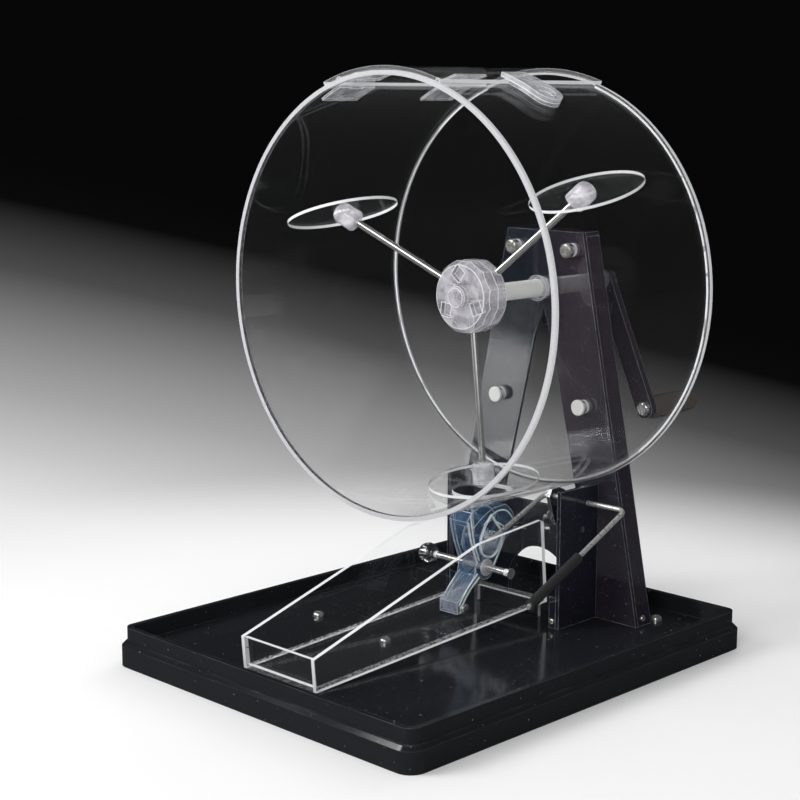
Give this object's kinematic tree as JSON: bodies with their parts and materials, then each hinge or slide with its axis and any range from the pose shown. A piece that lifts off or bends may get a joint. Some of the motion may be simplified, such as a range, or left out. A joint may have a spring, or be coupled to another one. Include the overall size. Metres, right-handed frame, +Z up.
{
  "type": "hand-cranked lottery ball drum",
  "caption": "Clear round drum on a tapered stand and tray. A rear crank turns a disc stirrer inside, a top hatch opens, and a wire lever tips a gate over a sloped chute.",
  "frame": {"origin": "on the resting plane, in the middle of the whole object's outline seen from above", "axes": "+X to the right seen from the front, +Y to the rear along the drum's axis, +Z up"},
  "size_m": [0.3, 0.4186, 0.4129],
  "materials": {
    "black_gloss": "glossy black moulding",
    "smoked_acrylic": "polished dark translucent sheet",
    "clear_acrylic": "polished clear sheet",
    "clear_moulding": "clear moulding with mould ribs",
    "blue_tint": "bluish translucent moulding",
    "brushed_aluminium": "fine brushed",
    "bright_wire": "drawn bright steel",
    "chrome_steel": "bright plated",
    "zinc_steel": "dull zinc plated",
    "dark_grip": "dark moulded grip",
    "dark_sleeve": "dark soft sleeve"
  },
  "bodies": {
    "root": {"base_tray": "black_gloss", "base_screws": "chrome_steel", "base_nuts": "zinc_steel", "stand_front_panel": "smoked_acrylic", "stand_side_left": "smoked_acrylic", "stand_side_right": "smoked_acrylic", "stand_top_plate": "smoked_acrylic", "stand_rear_plate": "smoked_acrylic", "wing_left": "smoked_acrylic", "wing_right": "smoked_acrylic", "wing_feet": "smoked_acrylic", "stand_foot_screws": "chrome_steel", "lever_clip": "smoked_acrylic", "drum_shell": "clear_acrylic", "drum_front_disc": "clear_acrylic", "drum_rear_disc": "clear_acrylic", "drum_upper_screws": "chrome_steel", "drum_lower_caps": "chrome_steel", "drum_spacers": "clear_acrylic", "drum_mount_nuts": "zinc_steel", "hinge_shell_leaves": "clear_acrylic", "hinge_pins": "bright_wire", "axle_bushing": "brushed_aluminium", "rear_bushing": "brushed_aluminium", "chute_left_wall": "clear_acrylic", "chute_right_wall": "clear_acrylic", "chute_floor": "clear_acrylic", "chute_front_wall": "clear_acrylic", "chute_rear_support": "clear_acrylic", "gate_pivot_bolt": "chrome_steel", "gate_pivot_knob": "clear_moulding"},
    "stirrer": {"axle_tube": "brushed_aluminium", "hub_cap": "clear_moulding", "hub_front_half": "clear_moulding", "hub_rear_half": "clear_moulding", "arm_left": "bright_wire", "arm_right": "bright_wire", "arm_lower": "bright_wire", "holder_left": "clear_moulding", "holder_right": "clear_moulding", "holder_lower": "clear_moulding", "paddle_left": "clear_acrylic", "paddle_right": "clear_acrylic", "paddle_lower": "clear_acrylic", "crank_arm": "smoked_acrylic", "crank_nut": "zinc_steel", "crank_grip_screw": "chrome_steel"},
    "grip": {"crank_grip": "dark_grip"},
    "lid": {"hatch_lid": "clear_acrylic", "lid_tab_upper": "clear_acrylic", "lid_tab_lower": "clear_acrylic", "hinge_lid_leaves": "clear_acrylic"},
    "lever": {"lever_wire": "bright_wire", "lever_grip": "dark_sleeve"},
    "gate": {"gate_rocker": "blue_tint", "gate_stop_pin": "clear_moulding"}
  },
  "joints": [
    {"name": "stirrer_turn", "type": "hinge", "parent": "root", "child": "stirrer", "pos_m": [0, 0, 0.255], "axis": [0, 1, 0], "continuous": true},
    {"name": "grip_turn", "type": "hinge", "parent": "stirrer", "child": "grip", "pos_m": [0.0421, 0.18, 0.16045], "axis": [0, 1, 0], "continuous": true},
    {"name": "lid_open", "type": "hinge", "parent": "root", "child": "lid", "pos_m": [-0.05879, 0, 0.40407], "axis": [0, -1, 0], "range_deg": [0, 110]},
    {"name": "lever_tip", "type": "hinge", "parent": "root", "child": "lever", "pos_m": [0.05, 0.066, 0.1035], "axis": [1, 0, 0], "range_deg": [-2, 12]},
    {"name": "gate_rock", "type": "hinge", "parent": "root", "child": "gate", "pos_m": [0, 0.0085, 0.0575], "axis": [1, 0, 0], "range_deg": [-14, 3]}
  ],
  "couplings": [
    {"joint": "gate_rock", "follows": "lever_tip", "ratio": -1.14}
  ]
}
